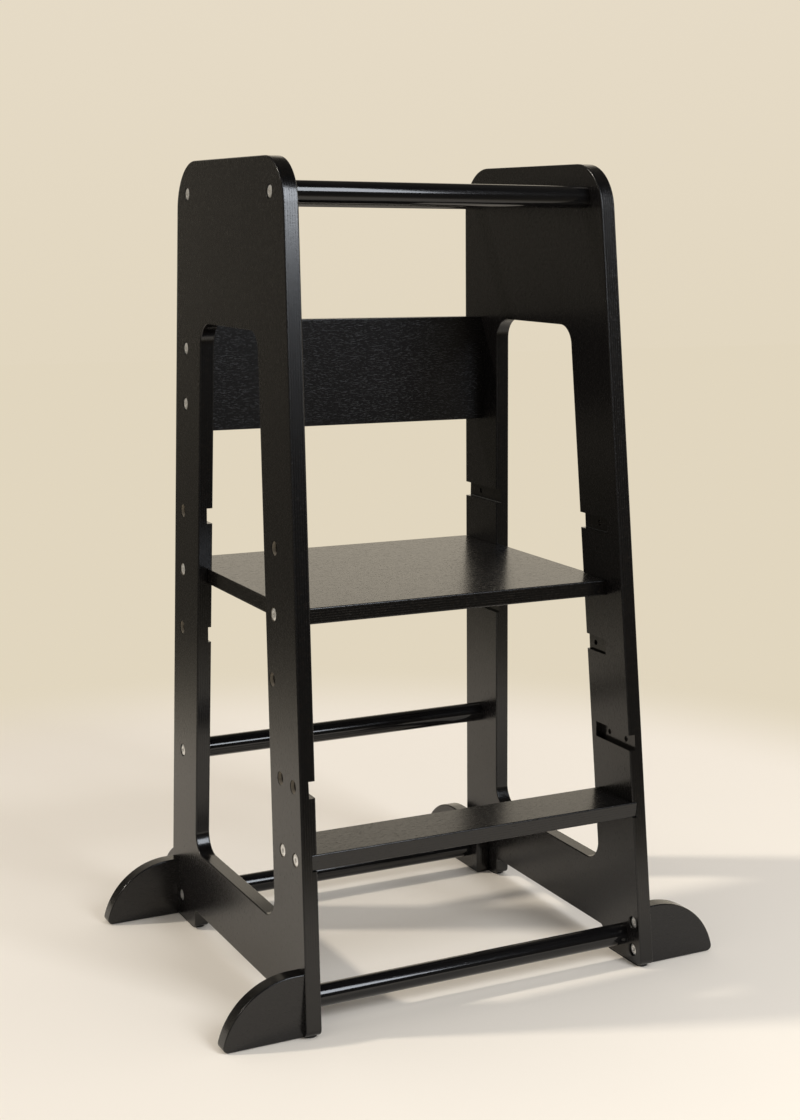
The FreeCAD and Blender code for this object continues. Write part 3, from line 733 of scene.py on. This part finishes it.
def bolt_places(node):
    """Seat, length under the head and direction of each bolt of a CAD node, from its points."""
    points = np.array([v.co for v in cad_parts[node].data.vertices])
    low, high = points.min(0), points.max(0)
    groups = [points[points[:, 0] < 0], points[points[:, 0] > 0]]
    if high[2] - low[2] > TWO_ROWS_HIGH:
        middle = (low[2] + high[2]) / 2
        groups = [part for group in groups
                  for part in (group[group[:, 2] < middle], group[group[:, 2] > middle])]
    places = []
    for group in groups:
        if not len(group):
            continue
        low, high = group.min(0), group.max(0)
        axis = (low + high) / 2
        on_head = np.hypot(group[:, 1] - axis[1], group[:, 2] - axis[2]) > BEYOND_SHANK
        outwards = 1.0 if group[on_head, 0].mean() > axis[0] else -1.0
        end, tip = (high[0], low[0]) if outwards > 0 else (low[0], high[0])
        seat = end - outwards * settings().zinc.head_height
        places.append(((seat, axis[1], axis[2]), abs(seat - tip), outwards))
    return places


def surface_from_grids(name, grids):
    """One closed mesh from grids of points: rows joined in quads, the columns closed round."""
    points, distances, faces, start = [], [], [], 0
    for grid, radius, outwards in grids:
        rows, columns = grid.shape[:2]
        index = start + np.arange(rows * columns).reshape(rows, columns)
        after = np.roll(index, -1, axis=1)
        quads = np.stack([index[:-1], index[1:], after[1:], after[:-1]], axis=-1).reshape(-1, 4)
        faces.append(quads if outwards > 0 else quads[:, ::-1])
        points.append(grid.reshape(-1, 3))
        distances.append(radius.reshape(-1))
        start += rows * columns
    mesh = bpy.data.meshes.new(name)
    mesh.from_pydata(np.concatenate(points).tolist(), [], np.concatenate(faces).tolist())
    kept = mesh.attributes.new("from_axis", "FLOAT", "POINT")
    kept.data.foreach_set("value", np.concatenate(distances).astype(np.float32))
    merge_points(mesh)
    mesh.shade_smooth()
    mesh.set_sharp_from_angle(angle=SHARP_TURN)
    return mesh


def make_bolts(node, body, threaded, material):
    """Takes the place of a CAD node's bolts, all in one piece."""
    grids = []
    for seat, length_under_head, outwards in bolt_places(node):
        points, radius = place_bolt(bolt_points(length_under_head, threaded), seat, outwards)
        grids.append((points, radius, outwards))
    piece = bpy.data.objects.new(node + "_turned", surface_from_grids(node + "_turned", grids))
    bpy.context.scene.collection.objects.link(piece)
    piece.data.materials.append(material)
    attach(piece, body)
    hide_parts(node)
    return piece


# ---- one operator for each group of pieces -----------------------------------------------------------
class STOOL_OT_side_panels(bpy.types.Operator):
    """Lacquers the two side panels and the back feet"""
    bl_idname = "helper_stool.side_panels"
    bl_label = "Side Panels"

    def execute(self, context):
        panel = lacquered_plywood("black_lacquer_side_panel", "Z", "X", leaning_depth,
                                  relief=settings().plywood.panel_relief, holes=True)
        foot = lacquered_plywood("black_lacquer_back_foot", "Y", "X", back_foot_depth)
        for side in SIDES:
            smooth_copy(side + "_side_panel", "frame", panel)
            smooth_copy(side + "_rear_back_foot", "frame", foot)
        return {"FINISHED"}


class STOOL_OT_boards(bpy.types.Operator):
    """Lacquers the platform, the step and the back board"""
    bl_idname = "helper_stool.boards"
    bl_label = "Platform, Step and Back Board"

    def execute(self, context):
        look = settings().plywood
        for node, across, sheet_depth, relief in (("platform", "Z", level_depth, look.board_relief),
                                                  ("step_board", "Z", level_depth, look.board_relief),
                                                  ("back_board", "Y", upright_depth, look.back_relief)):
            material = lacquered_plywood("black_lacquer_" + node, "X", across, sheet_depth(node), relief)
            smooth_copy(node, "frame", material)
        return {"FINISHED"}


class STOOL_OT_outer_feet(bpy.types.Operator):
    """Lacquers the four outer feet"""
    bl_idname = "helper_stool.outer_feet"
    bl_label = "Outer Feet"

    def execute(self, context):
        for foot in OUTER_FEET:
            material = lacquered_plywood("black_lacquer_" + foot, "X", "Y", upright_depth("left_" + foot))
            for side in SIDES:
                smooth_copy(side + "_" + foot, "frame", material)
        return {"FINISHED"}


class STOOL_OT_rails(bpy.types.Operator):
    """Gives the five rails their gloss lacquer"""
    bl_idname = "helper_stool.rails"
    bl_label = "Rails"

    def execute(self, context):
        material = gloss_lacquer()
        for rail in RAILS:
            dress(rail, material)
        return {"FINISHED"}


class STOOL_OT_bolts(bpy.types.Operator):
    """Makes all the bolts, those that come out with their threads"""
    bl_idname = "helper_stool.bolts"
    bl_label = "Bolts"

    def execute(self, context):
        material = bright_zinc("bright_zinc", settings().zinc.zinc, marks=True)
        for node in sorted(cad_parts):
            if node.endswith("_bolts"):
                make_bolts(node, "frame", False, material)
        for side in SIDES:
            for place in MOVING_PLACES:
                node = side + "_" + place + "_bolt"
                make_bolts(node, node, True, material)
        return {"FINISHED"}


class STOOL_OT_washers(bpy.types.Operator):
    """Gives washers and threaded sleeves their zinc"""
    bl_idname = "helper_stool.washers"
    bl_label = "Washers and Sleeves"

    def execute(self, context):
        washer = bright_zinc("washer_zinc", settings().zinc.zinc)
        sleeve = bright_zinc("sleeve_zinc", settings().zinc.sleeve)
        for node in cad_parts:
            if node.endswith("_washer"):
                dress(node, washer)
            elif node.endswith("_inserts"):
                dress(node, sleeve)
        return {"FINISHED"}


class STOOL_OT_pads(bpy.types.Operator):
    """Gives the pads under the legs their felt"""
    bl_idname = "helper_stool.pads"
    bl_label = "Pads"

    def execute(self, context):
        material = pad_felt()
        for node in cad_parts:
            if node.endswith("_glide"):
                dress(node, material)
        return {"FINISHED"}


# ---- stage and camera --------------------------------------------------------------------------------
# Levels of what reflections see of the room: each is smooth between two places, with a level at each.
RIGHTWARDS = (0.88, 0.47)                   # the photograph's right, in X and Y
RIGHT_LEVELS = (0.11, 0.55, 0.06, 1.2)      # by the part of a direction that goes to the right
FAR_LEFT_LEVELS = (-0.52, -0.40, 0.22, 0.0)     # by its part along X
HEIGHT_LEVELS = (0.30, 0.65, 1.0, 0.08)     # by its part along Z
FLOOR_DISTANCES = (0.55, 2.0)               # from the middle, in metres: the floor gets darker between them
FLOOR_LEVELS = (0.08, 0.15, 0.08, 0.19)     # of the far floor, by how far to the right it lies
BACKDROP_HEIGHTS = (-0.15, 0.25)            # parts along Z between which the backdrop gets its high colour
MOTTLE, MOTTLE_DARK = 350.0 * MILLIMETRE, 0.975

KEY_PLACE, KEY_TARGET, KEY_SPREAD = (-2.08, 1.02, 1.92), (0.0, 0.0, 0.0), math.radians(4.0)
WINDOW_PLACE, WINDOW_TARGET = (0.758, -2.320, 2.060), (0.0, -0.12, 0.90)
SENSOR = 36.0                               # width and height of the camera's sensor, in millimetres


def ray_kinds(shading):
    """Two numbers: 1 for the camera's rays and those through glass, which see the background, and 1 for
    reflections."""
    path = shading.add("ShaderNodeLightPath").outputs
    seen = shading.larger(path["Is Camera Ray"], path["Is Transmission Ray"])
    return seen, Number(shading, path["Is Glossy Ray"])


def rightwards(x, y):
    """How far a place or a direction goes to the photograph's right."""
    return x * RIGHTWARDS[0] + y * RIGHTWARDS[1]


def floor_material(look):
    """Pale floor that fades into the backdrop's colour away from the stool, and is darker to reflections."""
    material, shading = new_material("pale_floor")
    place, x, y, z = shading.position()
    radius = shading.distance(x, y)
    far = shading.step(radius, look.floor_radius, look.floor_radius + look.floor_fade)
    mottle = shading.noise(shading.stretched(place, MOTTLE), detail=3.0)
    near = shading.add("ShaderNodeBsdfDiffuse", {
        "Color": shading.blend(mottle, opaque(look.floor, MOTTLE_DARK), opaque(look.floor))})
    glossy = ray_kinds(shading)[1]
    far_level = shading.step(rightwards(x, y) / radius, *FLOOR_LEVELS)
    dimmed = shading.step(radius, *FLOOR_DISTANCES, 1.0, far_level)
    away = shading.add("ShaderNodeEmission", {
        "Color": opaque(look.backdrop), "Strength": glossy * dimmed + (1.0 - glossy)})
    mix = shading.add("ShaderNodeMixShader", {"Fac": far})
    for socket, shader in zip((1, 2), (near, away)):
        shading.feed(mix.inputs[socket], shader.outputs[0])
    shading.finish("Material", mix)
    return material


def room_light(look):
    """The world: the backdrop for the camera and for glass, a studio that is bright only behind and to
    the right for reflections, and an even room for everything else."""
    world = bpy.data.worlds.new("studio")
    bpy.context.scene.world = world
    world.use_nodes = True
    shading = Shading(world.node_tree)
    x, y, z = shading.parts(shading.add("ShaderNodeTexCoord").outputs["Generated"])
    backdrop = shading.blend(shading.step(z, *BACKDROP_HEIGHTS), opaque(look.backdrop),
                             opaque(look.backdrop_high))
    right = shading.step(rightwards(x, y), *RIGHT_LEVELS)
    far_left = shading.step(x, *FAR_LEFT_LEVELS)
    mirrored = (right + far_left) * shading.step(z, *HEIGHT_LEVELS)
    seen, glossy = ray_kinds(shading)
    plain = 1.0 - shading.larger(seen, glossy)
    shading.finish("World", shading.add("ShaderNodeBackground", {
        "Color": shading.blend(plain, backdrop, opaque(look.room)),
        "Strength": seen + (glossy * mirrored + plain * look.sky)}))


def aimed(place, target):
    """Matrix of a lamp at place that shines at target."""
    direction = (Vector(target) - Vector(place)).normalized()
    return Matrix.Translation(place) @ direction.to_track_quat("-Z", "Y").to_matrix().to_4x4()


def add_lamp(name, kind, place, target, **options):
    data = bpy.data.lights.new(name, kind)
    for key, value in options.items():
        setattr(data, key, value)
    lamp = bpy.data.objects.new(name, data)
    bpy.context.scene.collection.objects.link(lamp)
    lamp.matrix_world = aimed(place, target)
    return lamp


class STOOL_OT_stage(bpy.types.Operator):
    """Lays the pale floor and sets the room's light and the lamps"""
    bl_idname = "helper_stool.stage"
    bl_label = "Stage"

    def execute(self, context):
        look = settings().stage
        half = look.floor_half
        mesh = bpy.data.meshes.new("floor")
        mesh.from_pydata([(-half, -half, 0), (half, -half, 0), (half, half, 0), (-half, half, 0)], [],
                         [(0, 1, 2, 3)])
        mesh.materials.append(floor_material(look))
        floor = bpy.data.objects.new("floor", mesh)
        context.scene.collection.objects.link(floor)
        room_light(look)
        add_lamp("key", "SUN", KEY_PLACE, KEY_TARGET, energy=look.sun, angle=KEY_SPREAD, color=look.key)
        for name, power in (("window", look.window), ("window_gloss", look.window_gloss)):
            window = add_lamp(name, "AREA", WINDOW_PLACE, WINDOW_TARGET, energy=power, shape="RECTANGLE",
                              size=look.window_width, size_y=look.window_height, color=look.daylight)
            window.visible_camera = False
        window.visible_diffuse = False
        return {"FINISHED"}


class STOOL_OT_camera(bpy.types.Operator):
    """Sets the camera at the photograph's viewpoint"""
    bl_idname = "helper_stool.camera"
    bl_label = "Camera"

    def execute(self, context):
        look = settings().view
        ahead = Vector((math.sin(look.turn), math.cos(look.turn), 0.0))
        right = Vector((math.cos(look.turn), -math.sin(look.turn), 0.0))
        up = Vector((0.0, 0.0, 1.0))
        sight = ahead * math.cos(look.down) - up * math.sin(look.down)
        lifted = up * math.cos(look.down) + ahead * math.sin(look.down)
        across = right * math.cos(look.roll) + lifted * math.sin(look.roll)
        upright = lifted * math.cos(look.roll) - right * math.sin(look.roll)
        camera = bpy.data.objects.new("camera", bpy.data.cameras.new("camera"))
        turned = Matrix((across, upright, -sight)).transposed().to_4x4()
        camera.matrix_world = Matrix.Translation(look.place) @ turned
        camera.data.sensor_width = SENSOR
        camera.data.sensor_height = SENSOR
        camera.data.sensor_fit = "AUTO"
        camera.data.lens = look.lens
        context.scene.collection.objects.link(camera)
        context.scene.camera = camera
        return {"FINISHED"}


# ---- panel, registration and the run -----------------------------------------------------------------
OPERATORS = (STOOL_OT_side_panels, STOOL_OT_boards, STOOL_OT_outer_feet, STOOL_OT_rails, STOOL_OT_bolts,
             STOOL_OT_washers, STOOL_OT_pads, STOOL_OT_stage, STOOL_OT_camera)


class STOOL_PT_panel(bpy.types.Panel):
    """Lists the stool's sizes, colours and pieces"""
    bl_idname = "STOOL_PT_panel"
    bl_label = "Helper Stool"
    bl_space_type = "VIEW_3D"
    bl_region_type = "UI"
    bl_category = "Stool"

    def draw(self, context):
        layout = self.layout
        stool = context.scene.helper_stool
        for group in (stool.plywood, stool.rail, stool.zinc, stool.pads, stool.stage, stool.view):
            box = layout.box()
            box.label(text=group.bl_rna.description)
            for name in group.__annotations__:
                box.prop(group, name)
        for operator in OPERATORS:
            layout.operator(operator.bl_idname)


CLASSES = (LacqueredPlywood, GlossRail, ZincFasteners, Pads, Stage, View, StoolSettings,
           *OPERATORS, STOOL_PT_panel)


def register():
    for cls in CLASSES:
        bpy.utils.register_class(cls)
    bpy.types.Scene.helper_stool = PointerProperty(type=StoolSettings)


def unregister():
    del bpy.types.Scene.helper_stool
    for cls in reversed(CLASSES):
        bpy.utils.unregister_class(cls)


def main():
    register()
    stool = bpy.ops.helper_stool
    for make in (stool.camera, stool.side_panels, stool.boards, stool.outer_feet, stool.rails, stool.bolts,
                 stool.washers, stool.pads, stool.stage):
        make()
    bpy.context.scene.view_settings.view_transform = "Standard"


if __name__ == "__main__":
    main()
